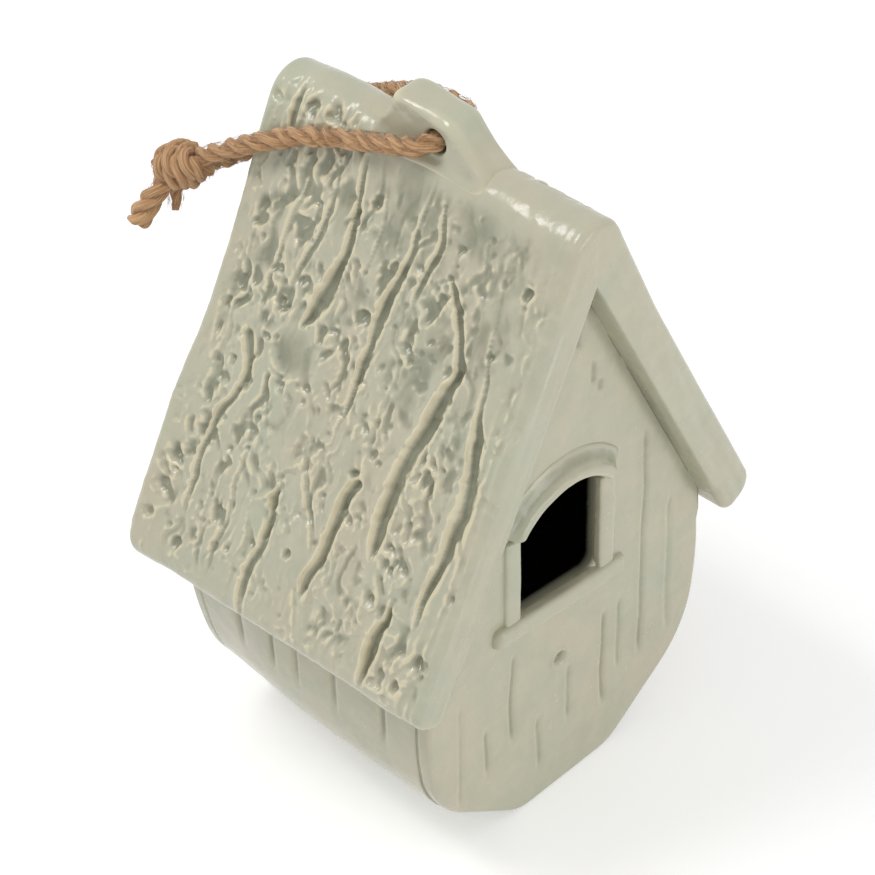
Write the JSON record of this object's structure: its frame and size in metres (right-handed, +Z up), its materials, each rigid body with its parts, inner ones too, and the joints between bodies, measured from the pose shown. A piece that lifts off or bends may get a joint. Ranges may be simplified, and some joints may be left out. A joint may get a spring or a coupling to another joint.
{
  "type": "hanging birdhouse",
  "caption": "Pot-bellied glazed stoneware birdhouse with a steep bark-carved gable roof, arched door and a knotted rope hanger.",
  "frame": {"origin": "centre of the flat foot that the house can stand on", "axes": "+Z up, Y along the ridge with the door on the -Y side, X across the gable"},
  "size_m": [0.146, 0.1479, 0.2264],
  "materials": {
    "glazed_clay": "gloss",
    "jute_rope": "rough"
  },
  "bodies": {
    "house": {"body_shell": "glazed_clay", "front_wall": "glazed_clay", "back_wall": "glazed_clay", "roof_left": "glazed_clay", "roof_right": "glazed_clay", "hanging_lug": "glazed_clay", "door_sill": "glazed_clay", "door_jamb_left": "glazed_clay", "door_jamb_right": "glazed_clay", "door_hood": "glazed_clay"},
    "hanger": {"hanging_rope": "jute_rope", "rope_knot": "jute_rope", "rope_tail_long": "jute_rope", "rope_tail_short": "jute_rope"}
  },
  "joints": [
    {"name": "hanger_swing", "type": "hinge", "parent": "house", "child": "hanger", "pos_m": [0, -0.0039, 0.218], "axis": [1, 0, 0], "range_deg": [0, 205]}
  ]
}
